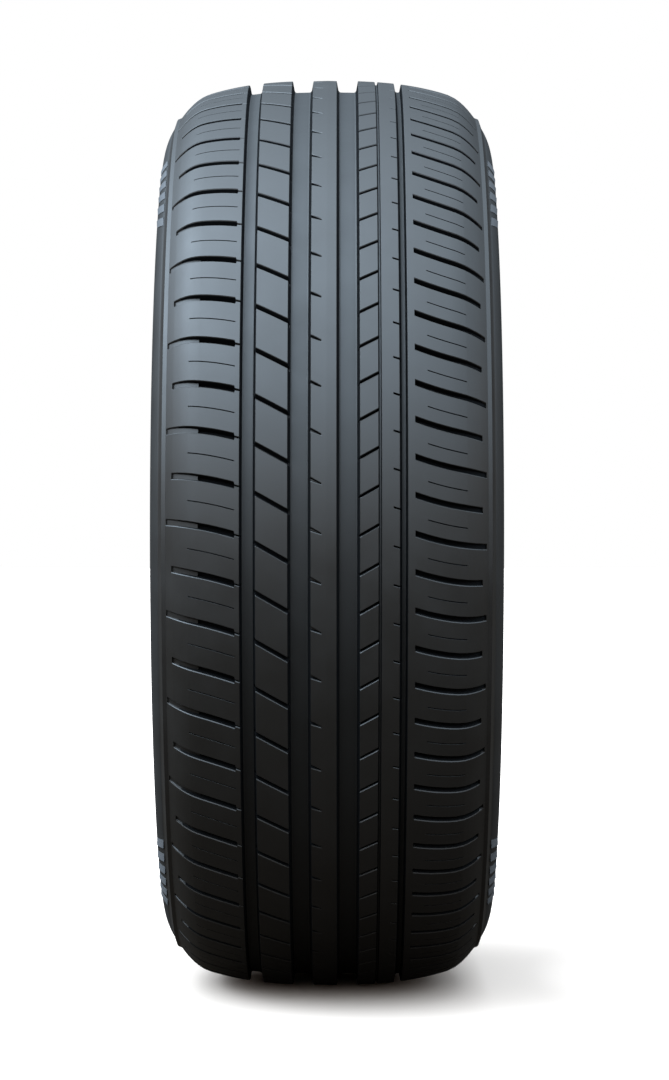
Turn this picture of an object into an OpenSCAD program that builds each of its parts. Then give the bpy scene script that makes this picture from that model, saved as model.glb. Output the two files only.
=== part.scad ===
// Radial car tyre, unmounted, standing on its tread.
// +Y is the spin axis, +Z is up, and the origin is the wheel centre.
// Sizes are millimetres. "Lateral" runs along +Y, "drop" runs inwards from the crown.
// "Left" is -Y and "right" is +Y, as seen from +X looking back at the tread.

/* [Size] */
// Outside diameter over the crown
overall_d = 634.3; // [600:0.1:670]
// Section width over the plain sidewalls
section_w = 224.8; // [218:0.1:236]
// Width from tread edge to tread edge
tread_w = 203; // [196:0.5:210]
// Diameter of the rim seat that the bead heels sit on
rim_d = 436.6; // [420:0.1:446]
// Distance between the outer faces of the two beads
bead_span = 190.5; // [182:0.5:200]

/* [Section] */
// Drop of the crown where the shoulder begins to turn
crown_drop = 10; // [8:0.1:12]
// Slope of the crown where the shoulder begins to turn, in degrees
crown_slope = 18; // [15:1:21]
// Lateral distance from there to the tread edge
shoulder_w = 17; // [15:0.5:20]
// Drop at the tread edge
shoulder_drop = 25.6; // [24:0.1:28]
// Slope at the tread edge, in degrees
shoulder_slope = 54; // [50:1:58]
// How far the edge of the raised band stands outside the tread edge
band_out = 2.6; // [2:0.1:3]
// Drop at that edge of the band
band_drop = 26.6; // [26.2:0.1:27.2]
// Drop at the widest part of the sidewall
widest_drop = 52; // [48:0.5:56]
// Thickness from the crown to the inner liner
crown_t = 14.5; // [13:0.1:18]
// Thickness at the tread edge
shoulder_t = 14; // [11:0.1:16]
// Thickness of the sidewall at its widest part
side_t = 8; // [6:0.1:11]
// Depth of the flat where the tread rests on the ground
contact_flat = 1.4; // [0.8:0.1:2]

/* [Bead] */
// Width of the tapered seat, heel to toe land
seat_w = 13; // [10:0.5:15]
// Taper of the bead seat, in degrees
seat_taper = 5; // [3:0.5:6]
// Width of the cylindrical land at the toe
toe_land = 4; // [3:0.5:6]
// Radius of the bead heel
heel_r = 5; // [3:0.5:7]
// Height of the rim protector edge above the rim seat
protector_h = 25; // [23:0.5:28]
// How far the rim protector stands out from the bead face
protector_out = 12.5; // [11:0.5:13.5]

/* [Circumferential grooves] */
// Lateral centre of groove 1, by the left shoulder
groove_1_at = -49.6; // [-52:0.1:-47]
// Width of groove 1 at the surface
groove_1_w = 10; // [8:0.1:11]
// Depth of groove 1
groove_1_depth = 6.8; // [5:0.1:8.5]
// Lateral centre of groove 2, left of the middle rib
groove_2_at = -17.3; // [-18:0.1:-16.5]
// Width of groove 2 at the surface
groove_2_w = 14.4; // [12:0.1:15]
// Depth of groove 2
groove_2_depth = 8; // [6:0.1:8.5]
// Lateral centre of groove 3, right of the middle rib
groove_3_at = 13.4; // [12.6:0.1:14]
// Width of groove 3 at the surface
groove_3_w = 14.6; // [12:0.1:15]
// Depth of groove 3
groove_3_depth = 8; // [6:0.1:8.5]
// Lateral centre of the narrow groove
narrow_at = 33.3; // [32.4:0.1:34.2]
// Width of the narrow groove
narrow_w = 2; // [1:0.1:2.6]
// Depth of the narrow groove
narrow_depth = 2.2; // [1:0.1:4]
// Lateral centre of groove 4, by the right shoulder
groove_4_at = 48.1; // [47:0.1:49]
// Width of groove 4 at the surface
groove_4_w = 5.1; // [4:0.1:6]
// Depth of groove 4
groove_4_depth = 5.8; // [4:0.1:7.5]
// Draft of the groove walls, in degrees
wall_draft = 10; // [6:1:12]

/* [Left side pattern] */
// Number of pitches round the left side
left_count = 64; // [56:1:68]
// Width of the left shoulder grooves
left_groove_w = 4; // [3:0.1:5]
// Solid land between groove 1 and the shoulder grooves
left_land = 3; // [2:0.1:5]
// Lateral length of the deep part of a left shoulder groove
left_deep_l = 22.5; // [18:0.5:26]
// Depth of that deep part
left_deep = 6; // [4:0.1:7]
// Depth of the shallow part where it leaves the deep one
left_shallow = 3.4; // [2:0.1:3.8]
// Depth of the shallow part at the tread edge
left_edge_depth = 1.2; // [0.8:0.1:1.8]
// Width of the diagonal slots across the second rib
rib_2_slot_w = 2.6; // [1.5:0.1:3.5]
// Depth of the diagonal slots across the second rib
rib_2_slot_depth = 5.5; // [3:0.1:7]
// Length of the notches in the middle rib
notch_l = 6.7; // [4:0.1:8]
// Width of those notches at their mouth
notch_w = 2.4; // [1.5:0.1:3.5]
// Depth of those notches
notch_depth = 3; // [1.5:0.1:5]

/* [Right side pattern] */
// Number of pitches round the right side
right_count = 82; // [72:1:86]
// Width of the right shoulder grooves
right_groove_w = 3.6; // [2.5:0.1:4.5]
// Solid land between groove 4 and the shoulder grooves
right_land = 4.4; // [3:0.1:6]
// Depth of the inner half of the right shoulder grooves
right_deep = 5; // [3:0.1:6]
// Depth of those grooves at their outer ends
right_shallow = 1.6; // [1:0.1:2.5]
// Width of the diagonal slots across the fourth rib
rib_4_slot_w = 1.5; // [1:0.1:2.5]
// Depth of the diagonal slots across the fourth rib
rib_4_slot_depth = 4.5; // [3:0.1:6]
// Length of the short notches in the fifth rib
nick_l = 4; // [2:0.1:6]
// Width of the short notches in the fifth rib
nick_w = 1; // [0.8:0.1:1.6]

/* [Sipes] */
// Width of the sipes in both shoulders
sipe_w = 0.7; // [0.6:0.1:1.2]
// Depth of the sipes
sipe_depth = 4; // [2:0.1:5]

/* [Hidden] */
$fn = 192;
TREAD_COLOUR = "#3c3f41";

OVER = 3;
crown_r = overall_d / 2;
half_w = section_w / 2;
edge_y = tread_w / 2;
turn_y = edge_y - shoulder_w;
rim_r = rim_d / 2;
bead_y = bead_span / 2;

// Drop of the crown at a lateral place: a cubic that is level at the middle
// and reaches crown_drop with crown_slope where the shoulder begins to turn.
crown_bend = tan(crown_slope) * turn_y / crown_drop;
function crown_cubic(u) = crown_drop * (u * u * (3 - crown_bend) + u * u * u * (crown_bend - 2));

// A curve with one control point, which is where the two end tangents meet.
function meet(p, a, q, b) =
    let (cross = cos(a) * sin(b) - sin(a) * cos(b))
    let (s = ((q[0] - p[0]) * sin(b) + (q[1] - p[1]) * cos(b)) / cross)
    [p[0] + s * cos(a), p[1] - s * sin(a)];
function bend(p, c, q, t) = p * (1 - t) * (1 - t) + c * 2 * t * (1 - t) + q * t * t;
function curve(p, a, q, b, n) = let (c = meet(p, a, q, b)) [for (i = [0:n]) bend(p, c, q, i / n)];

// Stations of the outer skin as [lateral, radius] with the heading there in degrees:
// 0 runs outwards along the spin axis and 90 runs in towards it.
turn_p = [turn_y, crown_r - crown_drop];
edge_p = [edge_y, crown_r - shoulder_drop];
band_p = [edge_y + band_out, crown_r - band_drop];
BAND_SIDE = [1.8, -5.4];
foot_p = band_p + BAND_SIDE;
FOOT_HEADING = 58;
wide_p = [half_w, crown_r - widest_drop];
lip_p = [bead_y + protector_out, rim_r + protector_h];
LIP_HEADING = 110;

// Steps along each stretch of the section
CROWN_STEPS = 6;
SHOULDER_STEPS = 5;
SIDE_STEPS = 5;

crown_points =
    [for (i = [0:CROWN_STEPS])
        let (u = i / CROWN_STEPS)
        [turn_y * u, crown_r - crown_cubic(u)]];
shoulder_points = curve(turn_p, crown_slope, edge_p, shoulder_slope, SHOULDER_STEPS);
upper_points = curve(foot_p, FOOT_HEADING, wide_p, 90, SIDE_STEPS);
lower_points = curve(wide_p, 90, lip_p, LIP_HEADING, SIDE_STEPS);

function tail(list) = [for (i = [1:len(list) - 1]) list[i]];
function reversed(list) = [for (i = [len(list) - 1:-1:0]) list[i]];
function flipped(list) = [for (p = list) [-p[0], p[1]]];

// Rim protector and bead, from the lip round the heel to the toe.
// Below the lip the clinch runs in to the bead face in two slopes.
LIP_FACE = 3;
LIP_DRAFT = 0.5;
FLARE_OUT = 3.4;
FLARE_H = 16.5;
CLINCH_OUT = 0.8;
CLINCH_H = 13.5;
FACE_H = 10;
HEEL_STEPS = 4;
heel_c = [bead_y - heel_r, rim_r + heel_r];
function heel_at(a) = heel_c + heel_r * [cos(a), -sin(a)];
seat_in_y = bead_y - heel_r - seat_w;
land_r = rim_r - seat_w * tan(seat_taper);
toe_y = seat_in_y - toe_land;
bead_points = concat(
    [lip_p - [LIP_DRAFT, LIP_FACE]],
    [[bead_y + FLARE_OUT, rim_r + FLARE_H]],
    [[bead_y + CLINCH_OUT, rim_r + CLINCH_H]],
    [[bead_y, rim_r + FACE_H]],
    [for (i = [0:HEEL_STEPS]) heel_at(90 * i / HEEL_STEPS)],
    [[seat_in_y, land_r]],
    [[toe_y, land_r]]);

// Inner liner, from the toe back up to the crown
TOE_TIP = [-0.6, 1.6];
TOE_BACK = [2.4, 9];
BEAD_TOP_H = 26;
BEAD_TOP_T = 11;
BEAD_TOP_HEADING = 128;
LINER_STEPS = 4;
toe_in_p = [toe_y, land_r] + TOE_TIP;
apex_p = [toe_y, land_r] + TOE_BACK;
bead_top_p = [lip_p[0] - BEAD_TOP_T, rim_r + BEAD_TOP_H];
wide_in_p = wide_p - [side_t, 0];
edge_in_p = edge_p - shoulder_t * [sin(shoulder_slope), cos(shoulder_slope)];
turn_in_p = turn_p - crown_t * [sin(crown_slope), cos(crown_slope)];
crown_in_r = crown_r - crown_t;
liner_crown =
    [for (i = [0:CROWN_STEPS])
        let (u = i / CROWN_STEPS)
        [turn_in_p[0] * u, crown_in_r - (crown_in_r - turn_in_p[1]) * crown_cubic(u) / crown_drop]];
liner_points = concat(
    liner_crown,
    tail(curve(turn_in_p, crown_slope, edge_in_p, shoulder_slope, LINER_STEPS)),
    tail(curve(edge_in_p, shoulder_slope, wide_in_p, 90, LINER_STEPS)),
    tail(curve(wide_in_p, 90, bead_top_p, BEAD_TOP_HEADING, LINER_STEPS)),
    [apex_p, toe_in_p]);

outer_half = concat(
    crown_points,
    tail(shoulder_points),
    [band_p],
    upper_points,
    tail(lower_points),
    bead_points);
half_loop = concat(tail(outer_half), reversed(tail(liner_points)));
section_loop = concat(
    [[0, crown_r]],
    half_loop,
    [[0, crown_in_r]],
    reversed(flipped(half_loop)));

// Turns a [lateral, radius] outline about the spin axis.
module ring(points) {
    rotate([90, 0, 0])
        mirror([0, 0, 1])
        rotate_extrude()
        polygon([for (p = points) [p[1], p[0]]]);
}

// Radius of the smooth tread surface at a lateral place
shoulder_c = meet(turn_p, crown_slope, edge_p, shoulder_slope);
function shoulder_t_at(y) =
    let (a = turn_p[0] - 2 * shoulder_c[0] + edge_p[0])
    let (b = shoulder_c[0] - turn_p[0])
    let (c = turn_p[0] - y)
    (sqrt(b * b - a * c) - b) / a;
function tread_r(y) =
    abs(y) <= turn_y
        ? crown_r - crown_cubic(abs(y) / turn_y)
        : bend(turn_p, shoulder_c, edge_p, shoulder_t_at(min(abs(y), edge_y)))[1];

// Everything above a floor that is given as [lateral, depth under the tread] points, left to right
module above_floor(points) {
    ring(concat(
        [for (p = points) [p[0], tread_r(p[0]) - p[1]]],
        [[points[len(points) - 1][0], crown_r + OVER], [points[0][0], crown_r + OVER]]));
}

// One circumferential groove with drafted walls
module channel(at, w, depth) {
    top_r = tread_r(abs(at) - w / 2) + OVER;
    floor_r = tread_r(at) - depth;
    floor_w = w / 2 - depth * tan(wall_draft);
    top_w = w / 2 + (top_r - tread_r(at)) * tan(wall_draft);
    ring([[at - floor_w, floor_r], [at + floor_w, floor_r], [at + top_w, top_r], [at - top_w, top_r]]);
}

// A cut with upright walls down to a level floor, at the front of the tread.
// Its outline is drawn as [lateral, distance down the front] points.
module level_cut(points, floor_r) {
    rotate([0, 90, 0])
        translate([0, 0, floor_r])
        linear_extrude(crown_r + OVER - floor_r)
        polygon([for (p = points) [p[1], p[0]]]);
}
BELOW_SHOULDER = 12;
CUT_FLOOR_R = crown_r - shoulder_drop - BELOW_SHOULDER;
module plan_cut(points) {
    level_cut(points, CUT_FLOOR_R);
}

// A strip of even width about a bowed centre line.
// It starts at [y, t] and runs for a length along the spin axis, with a slope and a bow.
STRIP_STEPS = 2;
FLOOR_STEPS = 3;
INTO_GROOVE = 1.3;
function strip(y, t, run, slope, bow, w, steps) =
    let (line = [for (i = [0:steps])
        let (l = run * i / steps)
        [y + l, t + slope * abs(l) - bow * l * l]])
    concat([for (p = line) p + [0, w / 2]], [for (p = reversed(line)) p - [0, w / 2]]);

module round_left(k0, k1) {
    for (k = [k0:k1:left_count - 1])
        rotate([0, 360 * k / left_count, 0])
        children();
}
module round_right(k0, k1) {
    for (k = [k0:k1:right_count - 1])
        rotate([0, 360 * k / right_count, 0])
        children();
}

// Left shoulder: curved grooves to the tread edge, every other one stopping short of it.
// A thin neck joins each one to groove 1.
left_in_y = groove_1_at - groove_1_w / 2 - left_land;
neck_y = left_in_y + left_land + INTO_GROOVE;
LEFT_T = 1.2;
LEFT_SLOPE = -0.295;
LEFT_BOW = -0.00263;
LEFT_STOP = 0.4;
LEFT_SHORT = 4;
module left_shoulder_groove(stop) {
    run = edge_y + left_in_y - stop;
    outline = strip(left_in_y, LEFT_T, -run, LEFT_SLOPE, LEFT_BOW, left_groove_w, STRIP_STEPS);
    neck = [
        [left_in_y, LEFT_T - sipe_w / 2],
        [neck_y, LEFT_T - sipe_w / 2],
        [neck_y, LEFT_T + sipe_w / 2],
        [left_in_y, LEFT_T + sipe_w / 2]];
    plan_cut(concat(outline, neck));
}
module left_shoulder_cuts() {
    deep_y = left_in_y - left_deep_l;
    intersection() {
        union() {
            round_left(0, 2) left_shoulder_groove(LEFT_STOP);
            round_left(1, 2) left_shoulder_groove(LEFT_SHORT);
        }
        union() {
            above_floor([
                [deep_y, left_deep],
                [(deep_y + left_in_y) / 2, left_deep],
                [neck_y + 1, left_deep]]);
            above_floor([
                for (i = [0:FLOOR_STEPS])
                    let (u = i / FLOOR_STEPS)
                    [-edge_y, left_edge_depth] * (1 - u) + [deep_y, left_shallow] * u]);
        }
    }
}

// Right shoulder: curved grooves, every other one stopping a little short of the tread edge
right_in_y = groove_4_at + groove_4_w / 2 + right_land;
RIGHT_T = 0.5;
RIGHT_SLOPE = 0.351;
RIGHT_BOW = 0.0037;
RIGHT_STOP = 1.2;
RIGHT_SHORT = 3.8;
module right_shoulder_groove(stop) {
    run = edge_y - right_in_y - stop;
    plan_cut(strip(right_in_y, RIGHT_T, run, RIGHT_SLOPE, RIGHT_BOW, right_groove_w, STRIP_STEPS));
}
module right_shoulder_cuts() {
    middle_y = (edge_y + right_in_y) / 2;
    intersection() {
        union() {
            round_right(0, 2) right_shoulder_groove(RIGHT_STOP);
            round_right(1, 2) right_shoulder_groove(RIGHT_SHORT);
        }
        above_floor([
            [right_in_y - 1, right_deep],
            [middle_y, right_deep],
            [(edge_y + middle_y) / 2, (right_deep + right_shallow) / 2],
            [edge_y, right_shallow]]);
    }
}

// Diagonal slots that cross a whole rib, from groove to groove
module slot_cut(y0, t0, y1, t1, w, depth) {
    r = min(tread_r(y0), tread_r(y1)) - depth;
    half = w / 2 / cos(atan((t1 - t0) / (y1 - y0)));
    level_cut([[y0, t0 - half], [y1, t1 - half], [y1, t1 + half], [y0, t0 + half]], r);
}
SLOT_SLOPE = 0.571;
RIB_2_T = 5.7;
RIB_4_T = 2.5;
module rib_2_slots() {
    y0 = groove_1_at + groove_1_w / 2 - INTO_GROOVE;
    y1 = groove_2_at - groove_2_w / 2 + INTO_GROOVE;
    round_left(0, 1) slot_cut(y0, RIB_2_T, y1, RIB_2_T + SLOT_SLOPE * (y1 - y0), rib_2_slot_w, rib_2_slot_depth);
}
module rib_4_slots() {
    y0 = groove_3_at + groove_3_w / 2 - INTO_GROOVE;
    y1 = narrow_at - narrow_w / 2 + INTO_GROOVE / 2;
    round_right(0, 1) slot_cut(y0, RIB_4_T, y1, RIB_4_T - SLOT_SLOPE * (y1 - y0), rib_4_slot_w, rib_4_slot_depth);
}

// Tapered notches in the left edge of the middle rib
NOTCH_T = -3;
NOTCH_SLOPE = 0.42;
NOTCH_TIP = 0.3;
module rib_3_notches() {
    y0 = groove_2_at + groove_2_w / 2 - INTO_GROOVE;
    y1 = y0 + INTO_GROOVE + notch_l;
    t1 = NOTCH_T + NOTCH_SLOPE * (y1 - y0);
    points = [
        [y0, NOTCH_T - notch_w / 2],
        [y1, t1 - NOTCH_TIP],
        [y1, t1 + NOTCH_TIP],
        [y0, NOTCH_T + notch_w / 2]];
    round_left(0, 1) level_cut(points, crown_r - notch_depth);
}

// Short nicks in the right edge of the fifth rib
NICK_T = -14.3;
NICK_SLOPE = 0.26;
module rib_5_nicks() {
    y1 = groove_4_at - groove_4_w / 2 + INTO_GROOVE;
    y0 = y1 - INTO_GROOVE - nick_l;
    round_right(0, 1) slot_cut(y0, NICK_T - NICK_SLOPE * (y1 - y0), y1, NICK_T, nick_w, sipe_depth);
}

// Sipes in the shoulders, half a pitch from the grooves
SIPE_SLOPE = 0.22;
LEFT_SIPE_L = 29.5;
RIGHT_SIPE_L = 25;
RIGHT_SIPE_IN = 8;
module left_sipes() {
    y1 = left_in_y;
    y0 = y1 - LEFT_SIPE_L;
    t1 = LEFT_T + PI * crown_r / left_count;
    round_left(0, 1) slot_cut(y0, t1 - SIPE_SLOPE * LEFT_SIPE_L, y1, t1, sipe_w, sipe_depth);
}
module right_sipes() {
    y0 = right_in_y + RIGHT_SIPE_IN;
    y1 = y0 + RIGHT_SIPE_L;
    t0 = RIGHT_T + RIGHT_SLOPE * RIGHT_SIPE_IN - PI * crown_r / right_count;
    round_right(0, 1) slot_cut(y0, t0, y1, t0 + SIPE_SLOPE * RIGHT_SIPE_L, sipe_w, sipe_depth);
}

// The vulcanised body of the tyre before its tread is cut
module casing() {
    ring(section_loop);
}
module channels() {
    channel(groove_1_at, groove_1_w, groove_1_depth);
    channel(groove_2_at, groove_2_w, groove_2_depth);
    channel(groove_3_at, groove_3_w, groove_3_depth);
    channel(narrow_at, narrow_w, narrow_depth);
    channel(groove_4_at, groove_4_w, groove_4_depth);
}
module ground() {
    translate([-overall_d, -half_w, -crown_r - overall_d + contact_flat])
        cube([2 * overall_d, section_w, overall_d]);
}

module tyre() {
    color(TREAD_COLOUR)
    difference() {
        casing();
        channels();
        left_shoulder_cuts();
        right_shoulder_cuts();
        rib_2_slots();
        rib_3_notches();
        rib_4_slots();
        rib_5_nicks();
        left_sipes();
        right_sipes();
        ground();
    }
}

tyre();
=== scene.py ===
from math import cos, pi, radians, sin, tan
import bpy
import numpy as np
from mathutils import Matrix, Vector


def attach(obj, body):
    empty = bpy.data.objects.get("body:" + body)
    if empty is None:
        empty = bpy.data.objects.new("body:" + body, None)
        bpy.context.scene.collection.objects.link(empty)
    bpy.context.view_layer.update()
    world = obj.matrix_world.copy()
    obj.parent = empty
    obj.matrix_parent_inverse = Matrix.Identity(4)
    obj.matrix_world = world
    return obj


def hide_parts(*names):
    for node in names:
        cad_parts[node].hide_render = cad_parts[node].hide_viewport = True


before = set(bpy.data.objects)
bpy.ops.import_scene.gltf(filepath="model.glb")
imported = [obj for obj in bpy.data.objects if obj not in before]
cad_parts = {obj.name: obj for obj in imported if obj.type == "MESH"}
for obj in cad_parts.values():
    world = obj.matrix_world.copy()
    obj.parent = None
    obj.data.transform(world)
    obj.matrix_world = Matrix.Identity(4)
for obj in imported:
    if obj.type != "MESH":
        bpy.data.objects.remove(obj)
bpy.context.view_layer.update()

# Sizes in millimetres, as in part.scad. The suffix _Y is a lateral place, _R a radius, _T a thickness and _P a
# point of the section as (lateral, radius). A heading of 0 runs outwards and one of 90 degrees inwards
MM = 0.001
CROWN_R = 317.15
HALF_W = 112.4
EDGE_Y = 101.5
TURN_Y = 84.5
RIM_R = 218.3
BEAD_Y = 95.25
CROWN_DROP = 10
CROWN_SLOPE = radians(18)
SHOULDER_DROP = 25.6
SHOULDER_SLOPE = radians(54)
WIDEST_DROP = 52
CROWN_T = 14.5
SHOULDER_T = 14
SIDE_T = 8
FLAT_R = CROWN_R - 1.4
TURN_P = np.array([TURN_Y, CROWN_R - CROWN_DROP])
EDGE_P = np.array([EDGE_Y, CROWN_R - SHOULDER_DROP])
BAND_P = np.array([EDGE_Y + 2.6, CROWN_R - 26.6])
FOOT_P = BAND_P + [1.8, -5.4]
FOOT_HEADING = radians(58)
WIDE_P = np.array([HALF_W, CROWN_R - WIDEST_DROP])
LIP_P = np.array([BEAD_Y + 12.5, RIM_R + 25])
LIP_HEADING = radians(110)
BEAD_TOP_HEADING = radians(128)
TOE_OUT_P, TOE_IN_P = (77.25, 217.163), (73.25, 217.163)
LINER_FOOT_P, LINER_TOE_P = (75.65, 226.163), (72.65, 218.763)
HEEL_R = 5

# Circumferential grooves: lateral centre, width at the surface, depth
GROOVES = {
    "left": (-49.6, 10, 6.8),
    "mid_left": (-17.3, 14.4, 8),
    "mid_right": (13.4, 14.6, 8),
    "narrow": (33.3, 2, 2.2),
    "right": (48.1, 5.1, 5.8),
}
WALL_DRAFT = tan(radians(10))
CHAMFER = 0.25
LEFT_COUNT = 64
RIGHT_COUNT = 82

# Softened shoulder turn: how far to each side the radius is averaged, dying out over a run up to the tread edge
SOFT_TURN = 5
SOFT_RUN = 10

# Faces in the painted-shade material, blackened where shade falls in the grooves, are turned from the skin by over
# the angle and cut in deeper than the wall depth, or just deeper than the dark depth
WALL_ANGLE = radians(35)
WALL_DEPTH = 1.3
DARK_DEPTH = 4.0
RIGHT_DARK_DEPTH = 1.5
SHARP_ANGLE = radians(22)


def curve(start, heading, end, end_heading, steps):
    """A quadratic curve whose one control point is where the two end tangents meet:
    start (1 - t)² + control 2 t (1 - t) + end t²."""
    cross = cos(heading) * sin(end_heading) - sin(heading) * cos(end_heading)
    gap = end - start
    run = (gap[0] * sin(end_heading) + gap[1] * cos(end_heading)) / cross
    control = start + run * np.array([cos(heading), -sin(heading)])
    t = np.linspace(0, 1, steps + 1)[:, None]
    return start * (1 - t) ** 2 + control * 2 * t * (1 - t) + end * t**2


def crown_cubic(u):
    """Drop of the crown at the share u of the way to the shoulder turn. The cubic is level in the middle, and at
    the turn it has the crown's full drop and slope: drop ((3 - s) u² + (s - 2) u³), s the slope per share."""
    slope = tan(CROWN_SLOPE) * TURN_Y / CROWN_DROP
    return CROWN_DROP * (u**2 * (3 - slope) + u**3 * (slope - 2))


def half_skin():
    """The outer skin from the crown to the widest place: the crown's cubic, the shoulder's curve, the flat top
    and steep side of the raised band outside the tread edge, and the curve of the upper sidewall. Where crown
    and shoulder meet, the radius is a mean of nine places over SOFT_TURN to each side, so no edge shows there."""
    u = np.linspace(0, 1, 40)
    crown = np.stack([TURN_Y * u, CROWN_R - crown_cubic(u)], -1)
    shoulder = curve(TURN_P, CROWN_SLOPE, EDGE_P, SHOULDER_SLOPE, 24)
    line = np.concatenate([crown, shoulder[1:]])
    lateral = np.linspace(0, EDGE_Y, 204)
    spread = SOFT_TURN * np.clip((EDGE_Y - lateral) / SOFT_RUN, 0, 1)
    near = lateral + spread * np.linspace(-1, 1, 9)[:, None]
    tread = np.stack([lateral, np.interp(np.abs(near), *line.T).mean(0)], -1)
    upper = curve(FOOT_P, FOOT_HEADING, WIDE_P, pi / 2, 40)
    return np.concatenate([tread, [BAND_P], upper])


SKIN = half_skin()


def skin_r(lateral):
    """Radius of the smooth outer skin at a lateral place."""
    return np.interp(np.abs(lateral), SKIN[:, 0], SKIN[:, 1])


def tread_r(lateral):
    """Radius that groove depths are measured from; it stays level outside the tread edges."""
    return skin_r(np.minimum(np.abs(lateral), EDGE_Y))


def unit(vectors):
    """Each row divided by its own length."""
    return vectors / np.maximum(np.linalg.norm(vectors, axis=1), 1e-20)[:, None]


def dark_faces(points, faces, depth, dark_depth):
    """Which faces take the painted-shade material, blackened as the shade in the grooves. A face's normal is the
    cross product of its diagonals. The skin's is the spoke, tipped sideways by how much the skin's radius falls in
    a millimetre. A face is steep if the size of their dot product is less than the cosine of WALL_ANGLE. Its depth
    is the mean of its corners' depths."""
    corners = points.reshape(-1, 3)[faces]
    normal = unit(np.cross(corners[:, 2] - corners[:, 0], corners[:, 3] - corners[:, 1]))
    middle = corners.mean(1)
    out = unit(middle * [1, 0, 1])
    out[:, 1] = skin_r(middle[:, 1] / MM - 0.5) - skin_r(middle[:, 1] / MM + 0.5)
    steep = np.abs((normal * unit(out)).sum(1)) < cos(WALL_ANGLE)
    cut = depth.ravel()[faces].mean(1)
    return (steep & (cut > WALL_DEPTH)) | (cut > dark_depth)


def ring_piece(name, angle, lateral, radius, material, depth, shade_material, dark_depth=DARK_DEPTH):
    """A closed ring. Row i of the arrays is one cross-section loop at its own angles about the spin axis:
    point = (radius cos angle, lateral, -radius sin angle), and no lower than the flat. Neighbours join round
    both ways. Depth says how far each point is cut in, for the choice between the plain material and the second
    one, which paints shade on groove walls and deep floors."""
    angle, lateral, radius, depth = np.broadcast_arrays(angle, lateral, radius, depth)
    z = np.maximum(-radius * np.sin(angle), -FLAT_R)
    points = np.stack([radius * np.cos(angle), lateral, z], -1) * MM
    index = np.arange(radius.size).reshape(radius.shape)
    down = np.roll(index, -1, 0)
    faces = np.stack([index, down, np.roll(down, -1, 1), np.roll(index, -1, 1)], -1).reshape(-1, 4)
    mesh = bpy.data.meshes.new(name)
    mesh.vertices.add(radius.size)
    mesh.vertices.foreach_set("co", points.ravel())
    mesh.loops.add(faces.size)
    mesh.loops.foreach_set("vertex_index", faces.ravel())
    mesh.polygons.add(len(faces))
    mesh.polygons.foreach_set("loop_start", np.arange(0, faces.size, 4))
    mesh.polygons.foreach_set("use_smooth", np.ones(len(faces), bool))
    mesh.update(calc_edges=True)
    mesh.validate()
    mesh.set_sharp_from_angle(angle=SHARP_ANGLE)
    mesh.materials.append(material)
    # The second material is painted shade: groove walls and deep floors blackened where shade falls
    mesh.materials.append(shade_material)
    mesh.polygons.foreach_set("material_index", dark_faces(points, faces, depth, dark_depth).astype(np.int32))
    piece = bpy.data.objects.new(name, mesh)
    bpy.context.scene.collection.objects.link(piece)
    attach(piece, "root")
    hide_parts("tyre")
    return piece


# Materials. The bloom's size, the range of its noise and what it does to the roughness; the grain's height
BLOOM_MM = 35
BLOOM_RANGE = (0.3, 0.7)
SMOOTHER, ROUGHER = -0.04, 0.05
GRAIN_H = 0.08
# Inputs of a colour mix: factor, first and second colour; and its result
MIX_INPUTS = (0, 6, 7)
MIX_RESULT = 2


def linear(hex_colour):
    """An sRGB hex colour as linear RGBA, by the two branches of the sRGB curve."""
    srgb = np.array([int(hex_colour[i:i + 2], 16) for i in (1, 3, 5)]) / 255
    rgb = np.where(srgb <= 0.04045, srgb / 12.92, ((srgb + 0.055) / 1.055) ** 2.4)
    return (*rgb, 1.0)


def node(tree, kind, settings=(), **links):
    """Adds a node, sets its properties or input values, and links its inputs."""
    made = tree.nodes.new(kind)
    for key, value in dict(settings).items():
        if isinstance(key, str) and hasattr(made, key):
            setattr(made, key, value)
        else:
            made.inputs[key].default_value = value
    for key, source in links.items():
        tree.links.new(source, made.inputs[key.replace("_", " ")])
    return made


def mixed(tree, factor, first, second):
    """A mix of two colours, the first at a factor of 0 and the second at 1. Each is a value or a socket."""
    mix = node(tree, "ShaderNodeMix", {"data_type": "RGBA"})
    for place, source in zip(MIX_INPUTS, (factor, first, second)):
        if isinstance(source, tuple):
            mix.inputs[place].default_value = source
        else:
            tree.links.new(source, mix.inputs[place])
    return mix.outputs[MIX_RESULT]


def vulcanised_rubber(name, colour, pale, rough, grain_mm, shine=0.5):
    """Carbon-black rubber cured in a steel mould. A faint bloom of wax, as noise, takes the colour towards the
    pale one and shifts the roughness, and a finer noise is the grain of the blasted mould, as a bump."""
    material = bpy.data.materials.new(name)
    material.use_nodes = True
    tree = material.node_tree
    tree.nodes.clear()
    place = node(tree, "ShaderNodeTexCoord").outputs["Object"]
    bloom = node(tree, "ShaderNodeTexNoise", {"Scale": 1 / (BLOOM_MM * MM), "Detail": 4.0, "Roughness": 0.6},
                 Vector=place).outputs["Fac"]
    grain = node(tree, "ShaderNodeTexNoise", {"Scale": 1 / (grain_mm * MM), "Detail": 3.0}, Vector=place)
    gloss = node(tree, "ShaderNodeMapRange", {"From Min": BLOOM_RANGE[0], "From Max": BLOOM_RANGE[1],
                                              "To Min": rough + SMOOTHER, "To Max": rough + ROUGHER}, Value=bloom)
    bump = node(tree, "ShaderNodeBump", {"Strength": 0.25, "Distance": GRAIN_H * MM}, Height=grain.outputs["Fac"])
    shader = node(tree, "ShaderNodeBsdfPrincipled", {"IOR": 1.52, "Specular IOR Level": shine},
                  Base_Color=mixed(tree, bloom, linear(colour), linear(pale)), Roughness=gloss.outputs["Result"],
                  Normal=bump.outputs["Normal"])
    node(tree, "ShaderNodeOutputMaterial", Surface=shader.outputs[0])
    return material


# The tread's skin, as it leaves the mould: dark and satin
tread_rubber = vulcanised_rubber("tread_rubber_moulded", "#181512", "#1d1a17", 0.44, 0.9)
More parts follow.
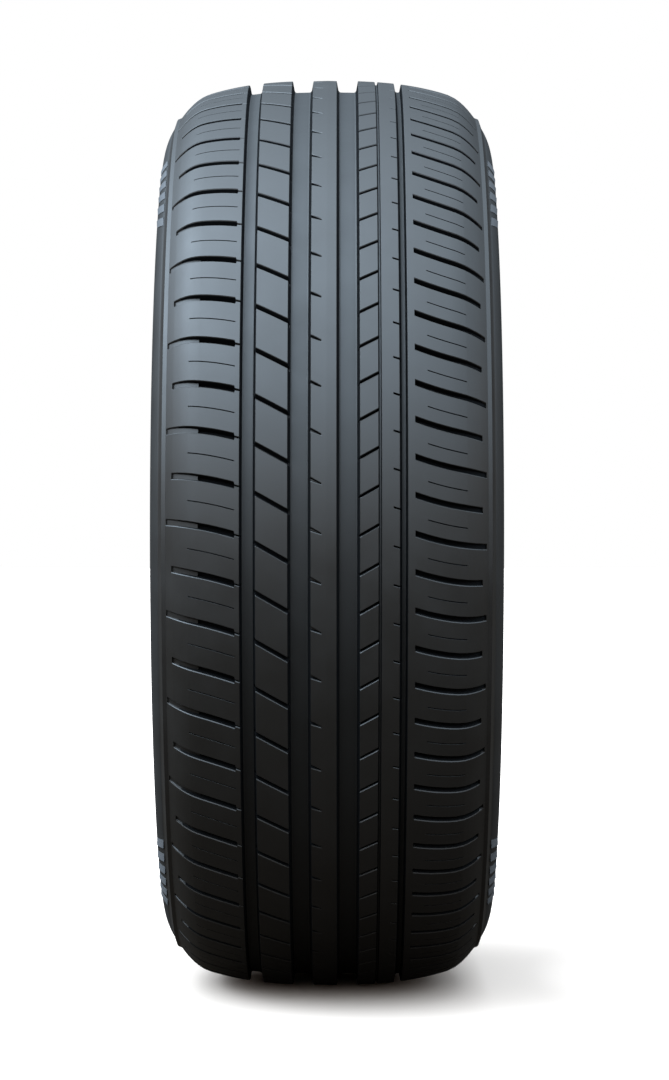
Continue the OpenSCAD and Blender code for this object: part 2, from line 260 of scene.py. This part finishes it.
# Painted shade: cut walls and deep floors of the grooves, in a blacker and matt rubber where shade falls
groove_shade_rubber = vulcanised_rubber("groove_painted_shade_rubber", "#0a0b0c", "#0d0e10", 0.85, 0.6, shine=0.08)
# The sidewalls, a little duller than the tread
casing_rubber = vulcanised_rubber("sidewall_rubber_moulded", "#151413", "#191816", 0.5, 0.9)
# Painted highlight: the tops of the sidewall's bars in a much paler rubber, standing in for the light they catch
bar_highlight_rubber = vulcanised_rubber("sidewall_bar_painted_highlight", "#505153", "#58595b", 0.7, 1.4)


# Tread bands. SUNK is how far a groove wall goes below its floor, and BASE how deep a band reaches
SUNK = 1.0
BASE = 9.2
# A cut's wall leans in at its foot by the least draft or more, and by this share of its half width at most
CUT_DRAFT = tan(radians(11))
LEAST_DRAFT = 0.05
DRAFT_SHARE = 0.8
# Rows between cuts are about this far apart
LAND_STEP = 3.5
# Rows across one lateral cut: share of its half width, lips out from there, draft side, depth limit in lips, where
# FULL stands for no limit
FULL = 1e3
CUT_ROWS = [(-1, -1, 0, 0), (-1, 0, 0, 1), (-1, 0, 1, FULL), (0, 0, 0, FULL),
            (1, 0, -1, FULL), (1, 0, 0, 1), (1, 1, 0, 0)]
# Bevelled lips: a slot's catches the light, and a sipe's is too fine to
SLOT_LIP = 0.5
SIPE_LIP = 0.05
SIPE_HALF = 0.35
SIPE_DEPTH = 4
# Runs along a cut from the surface to its floor: at a sipe's or nick's end, and at a groove's end wall
CUT_RUN = 0.3
END_WALL = 0.5


def groove_side(name, side):
    """Lateral places and depths down one wall of a groove, from the rib's top edge to below its floor. The wall's
    foot leans in by its depth times the draft."""
    at, width, depth = GROOVES[name]
    edge = at + side * width / 2
    foot = edge - side * (depth + SUNK) * WALL_DRAFT
    return [(edge + side * CHAMFER, 0), (edge, CHAMFER), (foot, depth + SUNK), (foot, BASE)]


def rib_stations(left, right, inner):
    """A rib's cross-section loop between two grooves: up one wall, over the top and down the other."""
    return groove_side(left, 1)[::-1] + [(y, 0) for y in inner] + groove_side(right, -1)


def tread_band(name, count, stations, bow, cuts, skin=skin_r, dark_depth=DARK_DEPTH):
    """One rib of the tread as a closed ring. A row runs across the rib along the bow, a lateral place's shift
    down the front. Each cut is (offset, half width as a function of lateral place, depth as a function of
    lateral place and pitch number, lip). A cut's row lies at offset + share * half width + lips, and its foot
    leans in by its depth times the draft. Between two cuts the rows are spread evenly."""
    pitch = 2 * pi * CROWN_R / count
    lateral, under = np.array(stations).T
    numbers = np.arange(count)
    rows = []
    for number, (at, half, _, lip) in enumerate(cuts):
        edge = half(lateral)
        rows += [(at + share * edge + out * lip, side * edge, limit * lip, number)
                 for share, out, side, limit in CUT_ROWS]
        next_at, next_half, _, next_lip = cuts[(number + 1) % len(cuts)]
        start = at + edge + lip
        stop = next_at - next_half(lateral) - next_lip + (pitch if number + 1 == len(cuts) else 0)
        steps = max(2, round((stop - start).min() / LAND_STEP))
        shares = np.linspace(0, 1, steps + 1)[1:-1]
        rows += [(start + (stop - start) * share, 0 * edge, 0, number) for share in shares]
    offset, side, limit, owner = (np.array(column) for column in zip(*rows))
    depths = np.stack([np.broadcast_to(depth(lateral[None], numbers[:, None]), (count, len(lateral)))
                       for _, _, depth, _ in cuts])
    deep = depths[owner.astype(int)].transpose(1, 0, 2)
    draft = np.minimum(np.maximum(deep * CUT_DRAFT, LEAST_DRAFT), DRAFT_SHARE * np.abs(side))
    shift = offset + np.sign(side) * draft
    angle = 2 * pi * numbers[:, None, None] / count + shift / CROWN_R + bow(lateral) / skin_r(lateral)
    plain = skin(lateral) - under
    floor = tread_r(lateral) - np.minimum(limit[:, None], deep)
    radius = np.where((limit[:, None] > 0) & (deep > 0), np.minimum(plain, floor), plain)
    drop = skin(lateral) - radius
    flat = (-1, len(lateral))
    return ring_piece(name, angle.reshape(flat), lateral, radius.reshape(flat), tread_rubber, drop.reshape(flat),
                      groove_shade_rubber, dark_depth)


def even(half):
    """A half width that stays the same all along a cut."""
    return lambda lateral: half + 0 * lateral


def level(depth):
    """A depth that stays the same all along a cut, in every pitch."""
    return lambda lateral, number: depth + 0 * lateral


def slant(start, slope, at):
    """A straight diagonal: start + slope * (place - at)."""
    return lambda lateral: start + slope * (lateral - at)


def sipe(start, end):
    """Depth along a sipe: a straight run down at each end, and level between."""
    places = [start, start + CUT_RUN, end - CUT_RUN, end]
    return lambda lateral, number: np.interp(np.abs(lateral), places, [0, SIPE_DEPTH, SIPE_DEPTH, 0])


def shoulder_bow(inner, start, slope, bend):
    """How a shoulder's cuts run: start + slope * out + bend * out², where out is how far outwards from the inner
    end a place lies, and no less than BOW_START."""
    def bow(lateral):
        out = np.maximum(np.abs(lateral) - inner, BOW_START)
        return start + slope * out + bend * out**2
    return bow


def shoulder_groove(places, depths, stop, short_stop):
    """Depth along a shoulder groove: straight runs between places, times a ramp of END_WALL up to its stop. Odd
    grooves stop short."""
    def depth(lateral, number):
        out = np.abs(lateral)
        end = np.where(number % 2 == 0, stop, short_stop)
        return np.interp(out, places, depths) * np.clip((end - out) / END_WALL, 0, 1)
    return depth


def shoulder_stations(groove, side, places):
    """A shoulder's cross-section loop: up the groove wall, out to the seam in the sidewall, and back inside the
    casing by the tail's stations."""
    wall = groove_side(groove, side)[::-1]
    skin_places = [(side * y, 0) for y in places + BAND_PLACES + [SEAM_Y]]
    loop = wall + skin_places + [(side * y, under) for y, under in TAIL]
    return loop if side > 0 else loop[::-1]


BOW_START = -4
SEAM_Y = 106.6
TAIL = [(SEAM_Y + 0.4, 2.0), (SEAM_Y - 4, BASE + 1), (80, BASE)]
# Stations over the tread edge and the raised band outside it
BAND_PLACES = [EDGE_Y - 0.2, EDGE_Y, EDGE_Y + 0.2, EDGE_Y + 1.3, BAND_P[0] - 0.25, BAND_P[0], BAND_P[0] + 0.12,
               FOOT_P[0] - 0.1, FOOT_P[0]]

# Left shoulder: its grooves climb outwards and level off. They are deep at first, then step up to a floor that
# rises to the tread edge
LEFT_IN = 57.6
LEFT_STEP = LEFT_IN + 22.5
LEFT_STOP = EDGE_Y - 0.4
LEFT_SHORT = EDGE_Y - 4
LEFT_SIPE_END = LEFT_IN + 29.5
LEFT_DEEP, LEFT_SHALLOW, LEFT_EDGE_DEPTH = 6, 3.4, 1.2
LEFT_HALF, NECK_HALF = 2.0, 0.35
LEFT_START, LEFT_SLOPE, LEFT_BEND = 1.2, -0.295, 0.00263
NECK_PLACES = [LEFT_IN - 0.2, LEFT_IN + 0.3]
left_places = [56, 57.1, NECK_PLACES[0], LEFT_IN, NECK_PLACES[1], 61, 65, 69, 73, 77, LEFT_STEP,
               LEFT_STEP + END_WALL, 84, LEFT_SIPE_END - CUT_RUN, LEFT_SIPE_END, 90, 93, LEFT_SHORT - 0.9,
               LEFT_SHORT - END_WALL, LEFT_SHORT, 99.3, LEFT_STOP - END_WALL, LEFT_STOP]
left_groove = shoulder_groove([LEFT_STEP, LEFT_STEP + END_WALL, EDGE_Y], [LEFT_DEEP, LEFT_SHALLOW, LEFT_EDGE_DEPTH],
                              LEFT_STOP, LEFT_SHORT)


def left_half(lateral):
    """A thin neck from the big groove, then the full width: a straight change between two places."""
    return np.interp(np.abs(lateral), NECK_PLACES, [NECK_HALF, LEFT_HALF])


tread_band("tread_left_shoulder", LEFT_COUNT, shoulder_stations("left", -1, left_places),
           shoulder_bow(LEFT_IN, LEFT_START, LEFT_SLOPE, LEFT_BEND),
           [(0, left_half, left_groove, SLOT_LIP),
            (pi * CROWN_R / LEFT_COUNT, even(SIPE_HALF), sipe(LEFT_IN, LEFT_SIPE_END), SIPE_LIP)])

# Right shoulder: its grooves fall outwards and level off. They are deep as far as the middle, then rise to the
# tread edge
RIGHT_IN = 55.05
RIGHT_MIDDLE = (RIGHT_IN + EDGE_Y) / 2
RIGHT_STOP = EDGE_Y - 1.2
RIGHT_SHORT = EDGE_Y - 3.8
RIGHT_SIPE, RIGHT_SIPE_END = 63, 88
RIGHT_SIPE_SHIFT = 0.9
RIGHT_DEEP, RIGHT_EDGE_DEPTH = 5, 1.6
RIGHT_HALF = 1.8
RIGHT_START, RIGHT_SLOPE, RIGHT_BEND = 0.5, 0.351, -0.0037
right_places = [53, 54.6, RIGHT_IN, RIGHT_IN + END_WALL, 59, RIGHT_SIPE, RIGHT_SIPE + CUT_RUN, 67, 71, 75,
                RIGHT_MIDDLE, 83, RIGHT_SIPE_END - CUT_RUN, RIGHT_SIPE_END, 91, 94, RIGHT_SHORT - 0.9,
                RIGHT_SHORT - END_WALL, RIGHT_SHORT, 99, RIGHT_STOP - END_WALL, RIGHT_STOP]
right_groove = shoulder_groove([RIGHT_IN, RIGHT_IN + END_WALL, RIGHT_MIDDLE, EDGE_Y],
                               [0, RIGHT_DEEP, RIGHT_DEEP, RIGHT_EDGE_DEPTH], RIGHT_STOP, RIGHT_SHORT)
tread_band("tread_right_shoulder", RIGHT_COUNT, shoulder_stations("right", 1, right_places),
           shoulder_bow(RIGHT_IN, RIGHT_START, RIGHT_SLOPE, RIGHT_BEND),
           [(0, even(RIGHT_HALF), right_groove, SLOT_LIP),
            (pi * CROWN_R / RIGHT_COUNT + RIGHT_SIPE_SHIFT, even(SIPE_HALF), sipe(RIGHT_SIPE, RIGHT_SIPE_END),
             SIPE_LIP)],
           dark_depth=RIGHT_DARK_DEPTH)

# Second rib: diagonal slots right across it
SLOT_SLOPE = 0.571
RIB_2_START, RIB_2_AT = 6.1, -45.2
RIB_2_HALF, RIB_2_DEPTH = 1.5, 5.5
tread_band("tread_rib_2", LEFT_COUNT, rib_stations("left", "mid_left", [-41, -37, -33, -29]),
           slant(RIB_2_START, SLOT_SLOPE, RIB_2_AT), [(0, even(RIB_2_HALF), level(RIB_2_DEPTH), SLOT_LIP)])

# Middle rib: a faint roof crease along its middle, and notches in its left edge that taper in width
NOTCH_END = -3.4
NOTCH_WALL = 0.4
NOTCH_START, NOTCH_SLOPE, NOTCH_SLOPE_IN = -2.7, 0.46, -10.7
NOTCH_HALVES, NOTCH_EDGE = [1.2, 0.3], -10.1
NOTCH_DEPTH = 3
ROOF_Y = -0.2
ROOF_SLOPE = 0.026


def notch_bow(lateral):
    """How a notch runs: start + slope * how far inwards, up to the notch's end."""
    return NOTCH_START + NOTCH_SLOPE * (np.clip(lateral, NOTCH_SLOPE_IN, NOTCH_END) - NOTCH_SLOPE_IN)


def notch_half(lateral):
    """A notch's half width narrows in a straight line from the rib's edge to its end."""
    return np.interp(lateral, [NOTCH_EDGE, NOTCH_END], NOTCH_HALVES)


def notch_depth(lateral, number):
    """Level up to the end wall."""
    return np.interp(lateral, [NOTCH_END - NOTCH_WALL, NOTCH_END], [NOTCH_DEPTH, 0])


def roofed_skin(lateral):
    """The skin, falling away from the crease: radius - slope * distance from it."""
    return skin_r(lateral) - ROOF_SLOPE * np.abs(lateral - ROOF_Y)


tread_band("tread_rib_3", LEFT_COUNT,
           rib_stations("mid_left", "mid_right", [-8, -6, NOTCH_END - NOTCH_WALL, NOTCH_END, -1, ROOF_Y, 0.6, 4]),
           notch_bow, [(0, notch_half, notch_depth, SLOT_LIP)], roofed_skin)

# Fourth rib: diagonal slots as far as the narrow groove, at the opposite slant
RIB_4_START, RIB_4_AT = 2.1, 20.1
RIB_4_HALF, RIB_4_DEPTH = 0.86, 4.5
tread_band("tread_rib_4", RIGHT_COUNT, rib_stations("mid_right", "narrow", [23, 26, 29]),
           slant(RIB_4_START, -SLOT_SLOPE, RIB_4_AT), [(0, even(RIB_4_HALF), level(RIB_4_DEPTH), SLOT_LIP)])

# Fifth rib: short nicks in its right edge
NICK_IN = 41.5
NICK_START, NICK_AT = -14.5, 46.15
NICK_SLOPE, NICK_SLOPE_IN = 0.3, 41
NICK_HALF, NICK_DEPTH = 0.52, 4


def nick_bow(lateral):
    """How a nick runs: start + slope * (place - at), and level further in than the nick."""
    return NICK_START + NICK_SLOPE * (np.maximum(lateral, NICK_SLOPE_IN) - NICK_AT)


def nick_depth(lateral, number):
    """A straight run down at the nick's inner end, and level from there to the groove."""
    return np.interp(lateral, [NICK_IN, NICK_IN + CUT_RUN], [0, NICK_DEPTH])


tread_band("tread_rib_5", RIGHT_COUNT, rib_stations("narrow", "right", [37, 40, NICK_IN, NICK_IN + CUT_RUN, 44]),
           nick_bow, [(0, even(NICK_HALF), nick_depth, CHAMFER)])


# Casing: everything below the ribs, the sidewalls, the beads and the liner
UNDER_RIBS = 7.0
CASING_EDGE_Y = SEAM_Y - 1.2
FOOT_FILLET = 1.2
# The most of a floor's half width that a fillet takes, and how far in and up its middle lies
FILLET_MOST = 0.6
FILLET_MIDDLE = 0.3


def groove_floors():
    """Lateral places and radii of the casing across the tread: level under the ribs, with filleted groove floors.
    A floor's half width is the groove's, less its depth times the draft."""
    line = [(-CASING_EDGE_Y, UNDER_RIBS)]
    for at, width, depth in sorted(GROOVES.values()):
        floor = width / 2 - depth * WALL_DRAFT
        fillet = min(FOOT_FILLET, floor * FILLET_MOST)
        half = [(floor + 0.5, UNDER_RIBS), (floor + 0.1, depth - fillet),
                (floor - fillet * FILLET_MIDDLE, depth - fillet * FILLET_MIDDLE), (floor - fillet, depth)]
        line += [(at - out, under) for out, under in half] + [(at + out, under) for out, under in half[::-1]]
    line += [(CASING_EDGE_Y, UNDER_RIBS)]
    lateral, depth = np.array(line).T
    return np.stack([lateral, tread_r(lateral) - depth], -1)


def normals(points):
    """Unit normals of a closed section line, to its left as it runs: the step between the two neighbours,
    turned by a right angle."""
    step = unit(np.roll(points, -1, 0) - np.roll(points, 1, 0))
    return np.stack([-step[:, 1], step[:, 0]], -1)


# How far the sidewall's top is tucked in under the shoulder band
TUCK = 0.6
# Raised rings and radial bars on the sidewall, as pairs of radii, with short sloped ends
SIDE_RINGS = [(260.6, 261.3), (254.6, 255.4), (250.5, 251.3)]
SIDE_BARS = (271.5, 284.3)
RING_H = 0.4
BAR_H = 0.7
EDGE_RUN = 0.3
BAR_COUNT = 6
BAR_PITCH = radians(2.95)
BAR_HALF = radians(0.85)
BAR_GROUPS = np.radians([53, 127, 233, 307])
# The bars lean away from the level of the hub as they run inwards, and the lean dies out further in
BAR_SLANT = radians(2.6)
TWIST_END = 250
# Height across a bar: steep sides, and a top that rises away from the level of the hub
BAR_PROFILE = ([-1, -0.94, 0.94, 1], [0, 0.4, 1, 0])


def plateau(places, low, high, run):
    """One between a low and a high place and zero outside them, with a straight slope at each end."""
    return np.clip((places - low) / run, 0, 1) - np.clip((places - high + run) / run, 0, 1)


def sidewall():
    """The right outer sidewall from the tread seam to the lip of the rim protector, with extra places at the
    ends of rings and bars. It is tucked in under the shoulder band, most at the top."""
    upper = curve(FOOT_P, FOOT_HEADING, WIDE_P, pi / 2, 16)
    lower = curve(WIDE_P, pi / 2, LIP_P, LIP_HEADING, 12)
    line = np.concatenate([upper, lower[1:]])
    corners = np.ravel([[low, low + EDGE_RUN, high - EDGE_RUN, high] for low, high in SIDE_RINGS + [SIDE_BARS]])
    radius = np.sort(np.concatenate([line[:, 1], corners]))[::-1]
    lateral = np.interp(-radius, -line[:, 1], line[:, 0])
    tucked = np.interp(lateral, [FOOT_P[0], SEAM_Y + 0.2], [TUCK, 0]) * (radius > WIDE_P[1])
    return np.stack([lateral, radius - tucked], -1)


def half_bead():
    """The right bead: down the rim protector's clinch to the heel, a quarter circle, then to the toe."""
    heel = np.radians(np.linspace(0, 90, 9))
    arc = np.array([BEAD_Y - HEEL_R, RIM_R + HEEL_R]) + HEEL_R * np.stack([np.cos(heel), -np.sin(heel)], -1)
    clinch = [LIP_P - [0.5, 3], (BEAD_Y + 3.4, RIM_R + 16.5), (BEAD_Y + 0.8, RIM_R + 13.5), (BEAD_Y, RIM_R + 10)]
    return np.concatenate([clinch, arc, [TOE_OUT_P, TOE_IN_P]])


def half_liner():
    """The right inner liner, from the bead toe up to the crown: the outer stations moved in by the thickness
    there, joined by curves with the outer headings, and a crown that drops in proportion to the outer one."""
    edge_in = EDGE_P - SHOULDER_T * np.array([sin(SHOULDER_SLOPE), cos(SHOULDER_SLOPE)])
    turn_in = TURN_P - CROWN_T * np.array([sin(CROWN_SLOPE), cos(CROWN_SLOPE)])
    wide_in = WIDE_P - [SIDE_T, 0]
    bead_top = np.array([LIP_P[0] - 11, RIM_R + 26])
    u = np.linspace(0, 1, 16)
    crown_in = CROWN_R - CROWN_T
    crown = np.stack([turn_in[0] * u, crown_in - (crown_in - turn_in[1]) * crown_cubic(u) / CROWN_DROP], -1)
    stretches = [crown, curve(turn_in, CROWN_SLOPE, edge_in, SHOULDER_SLOPE, 10)[1:],
                 curve(edge_in, SHOULDER_SLOPE, wide_in, pi / 2, 12)[1:],
                 curve(wide_in, pi / 2, bead_top, BEAD_TOP_HEADING, 10)[1:], [LINER_FOOT_P, LINER_TOE_P]]
    return np.concatenate(stretches)[::-1]


def flipped(points):
    """The points on the other side of the middle plane, in the opposite order."""
    return points[::-1] * [-1, 1]


# The casing's loop: across the tread, then down the right half and up the left
CASING_STEPS = 264
right_half = np.concatenate([sidewall(), half_bead(), half_liner()])
tread_part = groove_floors()
section = np.concatenate([tread_part, right_half, flipped(right_half)[1:]])
outside = np.abs(section[:, 0]) > SEAM_Y

# Rows round the casing, evenly spread and at the corners of each bar. A bar's sense is the way round that leads
# away from the level of the hub
bar_at = (BAR_GROUPS[:, None] + BAR_PITCH * (np.arange(BAR_COUNT) - (BAR_COUNT - 1) / 2)).ravel()
bar_sense = np.sign(np.sin(2 * bar_at))
bar_rows = bar_at[:, None] + bar_sense[:, None] * BAR_HALF * BAR_PROFILE[0]
around = np.linspace(0, 2 * pi, CASING_STEPS, endpoint=False)
around = np.sort(np.concatenate([around, bar_rows.ravel()]))[:, None]

# The rows turn with the bars' lean as they run inwards, and back again below
lean = np.interp(section[:, 1], [TWIST_END, *SIDE_BARS], [0, 1, 0]) * outside
turned = around + BAR_SLANT * np.sin(2 * around) * lean
on_bar = np.interp((around - bar_at) * bar_sense / BAR_HALF, *BAR_PROFILE).max(1)[:, None]
bar_run = plateau(section[:, 1], *SIDE_BARS, EDGE_RUN) * outside
raised = sum(plateau(section[:, 1], low, high, EDGE_RUN) for low, high in SIDE_RINGS) * outside * RING_H
raised = raised + on_bar * bar_run * BAR_H
push = normals(section)
# Across the tread the casing counts as deeper than the wall depth but not the dark depth, so only its steep faces
# there take the painted shade
TREAD_PART_DEPTH = 2.0
cut_in = (np.arange(len(section)) < len(tread_part)) * TREAD_PART_DEPTH
casing = ring_piece("casing", turned, section[:, 0] + push[:, 0] * raised, section[:, 1] + push[:, 1] * raised,
                    casing_rubber, cut_in, groove_shade_rubber)

# Painted highlight on the bars' tops: faces with all four corners on top of a bar take the paler rubber
HIGHLIGHT_SLOT = 2
casing.data.materials.append(bar_highlight_rubber)
top = (on_bar > 0.3) & (bar_run > 0.99)
for axis in (0, 1):
    top = top & np.roll(top, -1, axis)
finish = np.empty(top.size, np.int32)
casing.data.polygons.foreach_get("material_index", finish)
casing.data.polygons.foreach_set("material_index", np.where(top.ravel(), HIGHLIGHT_SLOT, finish).astype(np.int32))

# Floor: matt white paint on a studio table. The camera sees it warm, so that it comes out neutral under the
# bluish light from above, and other rays see it dark, so that it throws little light back
FLOOR_REACH = 30
FLOOR_DARK = (0.03, 0.0225, 0.0165, 1)
FLOOR_PALE = (0.728, 0.593, 0.5, 1)
floor_mesh = bpy.data.meshes.new("floor")
floor_corners = [(-1, -1), (1, -1), (1, 1), (-1, 1)]
floor_mesh.from_pydata([(x * FLOOR_REACH, y * FLOOR_REACH, -FLAT_R * MM) for x, y in floor_corners],
                       [], [(0, 1, 2, 3)])
floor = bpy.data.objects.new("floor", floor_mesh)
bpy.context.scene.collection.objects.link(floor)
paint = bpy.data.materials.new("matt_white_floor")
paint.use_nodes = True
tree = paint.node_tree
tree.nodes.clear()
seen = node(tree, "ShaderNodeLightPath").outputs["Is Camera Ray"]
matt = node(tree, "ShaderNodeBsdfDiffuse", Color=mixed(tree, seen, FLOOR_DARK, FLOOR_PALE))
node(tree, "ShaderNodeOutputMaterial", Surface=matt.outputs[0])
floor_mesh.materials.append(paint)

# Light: one broad soft sky. It is dark low down and strongest overhead, stronger on the left than on the right,
# and weak behind. It is warm low down and bluish high up. The camera sees plain white instead
SKY_RISE = (-0.22, 1.05)
SKY_LOW, SKY_STRENGTH = 0.01, 5.5
LEFT_GAIN, RIGHT_GAIN = 1.65, 0.53
# Changes far out to a side, low down and high up
FAR_LEFT_LOW, FAR_LEFT_HIGH = -0.55, 1.15
FAR_RIGHT_LOW, FAR_RIGHT_HIGH = 0.5, -0.35
# How far the front's light wraps round the sides, and what is left of it high up behind
SIDE_WRAP = 0.35
BEHIND_HIGH = 0.14
WARM, COOL = (1.25, 1.0, 0.76, 1), (0.81, 1.0, 1.19, 1)
WHITE = (1, 1, 1, 1)
world = bpy.data.worlds.new("studio")
bpy.context.scene.world = world
world.use_nodes = True
sky = world.node_tree
sky.nodes.clear()
toward = node(sky, "ShaderNodeTexCoord").outputs["Generated"]
forward, side, up = node(sky, "ShaderNodeSeparateXYZ", Vector=toward).outputs


def fade(along, start, end, start_value, end_value):
    """A smooth change of the sky's light from one place along a direction to another."""
    return node(sky, "ShaderNodeMapRange", {"interpolation_type": "SMOOTHSTEP", "From Min": start, "From Max": end,
                                            "To Min": start_value, "To Max": end_value}, Value=along).outputs[0]


def maths(operation, *values):
    """A math node on sockets or numbers."""
    made = node(sky, "ShaderNodeMath", {"operation": operation})
    for place, value in enumerate(values):
        if isinstance(value, (int, float)):
            made.inputs[place].default_value = value
        else:
            sky.links.new(value, made.inputs[place])
    return made.outputs[0]


def product(first, *rest):
    """All the values multiplied."""
    for value in rest:
        first = maths("MULTIPLY", first, value)
    return first


height = fade(up, *SKY_RISE, SKY_LOW, SKY_STRENGTH)
across = fade(side, -1, 1, LEFT_GAIN, RIGHT_GAIN)
far_left = maths("MULTIPLY_ADD", fade(side, -1, -0.4, 1, 0), fade(up, 0.1, 0.8, FAR_LEFT_LOW, FAR_LEFT_HIGH), 1.0)
far_right = maths("MULTIPLY_ADD", fade(side, 0.3, 0.9, 0, 1),
                  fade(up, 0.25, 0.85, FAR_RIGHT_LOW, FAR_RIGHT_HIGH), 1.0)
facing = fade(maths("MULTIPLY_ADD", maths("ABSOLUTE", side), SIDE_WRAP, forward), -0.85, 0.55, 0, 1)
behind = maths("MULTIPLY_ADD", maths("SUBTRACT", 1.0, facing), fade(up, 0, 0.6, 0, BEHIND_HIGH), facing)
shine = product(height, across, far_left, far_right, behind)
direct = node(sky, "ShaderNodeLightPath").outputs["Is Camera Ray"]
strength = node(sky, "ShaderNodeMix", {"B": 1.0}, Factor=direct, A=shine).outputs["Result"]
tone = mixed(sky, fade(up, -0.3, 0.5, 0, 1), WARM, COOL)
back = node(sky, "ShaderNodeBackground", Color=mixed(sky, direct, tone, WHITE), Strength=strength)
node(sky, "ShaderNodeOutputWorld", Surface=back.outputs[0])

# Camera at the height of the hub, square on to the tread but for a small pan and tilt
FOCAL_PX = 3656
PHOTO_H_PX = 1080
PAN, TILT = radians(0.072), radians(0.111)
CAMERA_AT = (2.585, 0.00766, 0)
data = bpy.data.cameras.new("camera")
data.sensor_width = 36
data.lens = FOCAL_PX / PHOTO_H_PX * data.sensor_width
data.clip_end = 200
camera = bpy.data.objects.new("camera", data)
camera.location = CAMERA_AT
camera.rotation_euler = Vector((-1, -tan(PAN), -tan(TILT))).to_track_quat("-Z", "Y").to_euler()
bpy.context.scene.collection.objects.link(camera)
bpy.context.scene.camera = camera
bpy.context.scene.view_settings.view_transform = "Standard"
